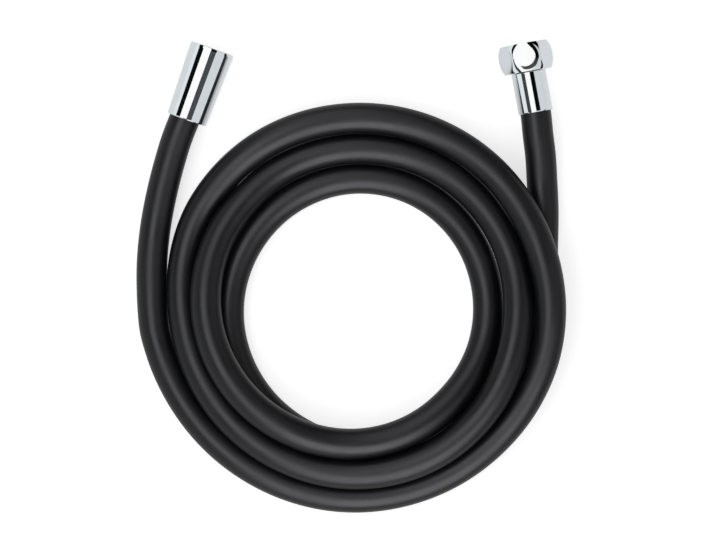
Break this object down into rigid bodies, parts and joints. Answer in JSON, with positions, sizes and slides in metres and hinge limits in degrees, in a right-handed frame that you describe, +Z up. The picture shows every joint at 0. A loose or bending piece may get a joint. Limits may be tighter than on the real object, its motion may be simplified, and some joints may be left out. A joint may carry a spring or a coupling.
{
  "type": "shower hose",
  "caption": "Smooth black shower hose lying in a loose coil, with a long conical chromed swivel nut at one end and a hexagonal chromed swivel nut behind a crimped ferrule at the other.",
  "frame": {"origin": "on the floor under the middle of the part's box, hose and both fittings together", "axes": "+Z up from the floor that the coil lies on; +Y from the coil towards the two fittings; +X towards the hexagonal nut's side"},
  "size_m": [0.222, 0.2448, 0.0357],
  "materials": {
    "hose_plastic": "smooth satin black PVC",
    "chrome": "bright chromium plate on brass",
    "tail_brass": "turned brass, bare",
    "washer_rubber": "black moulded rubber"
  },
  "bodies": {
    "hose_body": {"hose": "hose_plastic", "hex_tail": "tail_brass", "hex_ferrule": "chrome", "cone_tail": "tail_brass", "cone_ferrule": "chrome"},
    "hex_nut_body": {"hex_nut": "chrome", "hex_washer": "washer_rubber"},
    "cone_nut_body": {"cone_nut": "chrome", "cone_washer": "washer_rubber"}
  },
  "joints": [
    {"name": "hex_nut_turn", "type": "hinge", "parent": "hose_body", "child": "hex_nut_body", "pos_m": [0.09148, 0.1083, 0.0126], "axis": [-0.1805, 0.9836, 0], "continuous": true},
    {"name": "cone_nut_turn", "type": "hinge", "parent": "hose_body", "child": "cone_nut_body", "pos_m": [-0.07608, 0.1055, 0.01139], "axis": [0.3419, 0.9393, 0.0303], "continuous": true}
  ]
}
